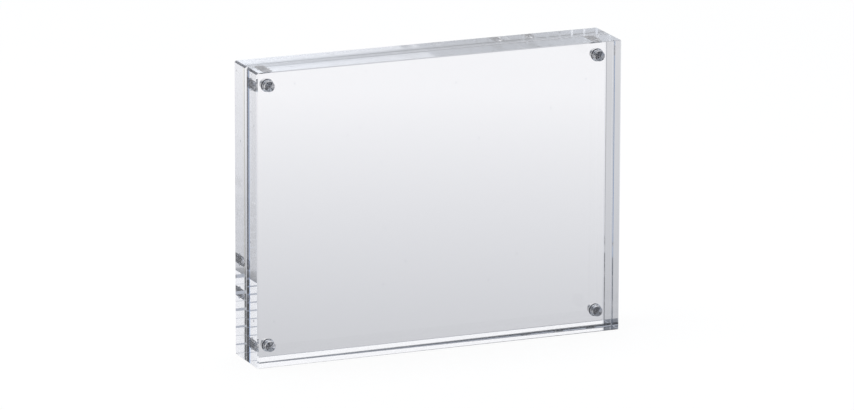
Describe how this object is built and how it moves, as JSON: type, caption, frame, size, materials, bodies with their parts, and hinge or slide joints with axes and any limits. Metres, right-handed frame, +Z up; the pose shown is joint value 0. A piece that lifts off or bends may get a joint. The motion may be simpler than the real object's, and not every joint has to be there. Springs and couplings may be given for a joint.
{
  "type": "acrylic block frame",
  "caption": "Clear acrylic block picture frame: a thick front plate pulls straight off a matching rear plate, held shut by nickel magnets set in the corners.",
  "frame": {"origin": "middle of the base, on the surface that the frame stands on, half way through its depth", "axes": "+X to the viewer's right along the width, +Y from front to back, +Z up"},
  "size_m": [0.15, 0.0234, 0.115],
  "materials": {
    "clear_acrylic": "polished",
    "nickel_plate": "gloss"
  },
  "bodies": {
    "rear_half": {"rear_plate": "clear_acrylic", "rear_magnet_top_left": "nickel_plate", "rear_magnet_top_right": "nickel_plate", "rear_magnet_bottom_left": "nickel_plate", "rear_magnet_bottom_right": "nickel_plate"},
    "front_half": {"front_plate": "clear_acrylic", "front_magnet_top_left": "nickel_plate", "front_magnet_top_right": "nickel_plate", "front_magnet_bottom_left": "nickel_plate", "front_magnet_bottom_right": "nickel_plate"}
  },
  "joints": [
    {"name": "front_pull_off", "type": "slide", "parent": "rear_half", "child": "front_half", "axis": [0, -1, 0], "range_m": [0, 0.06]}
  ]
}
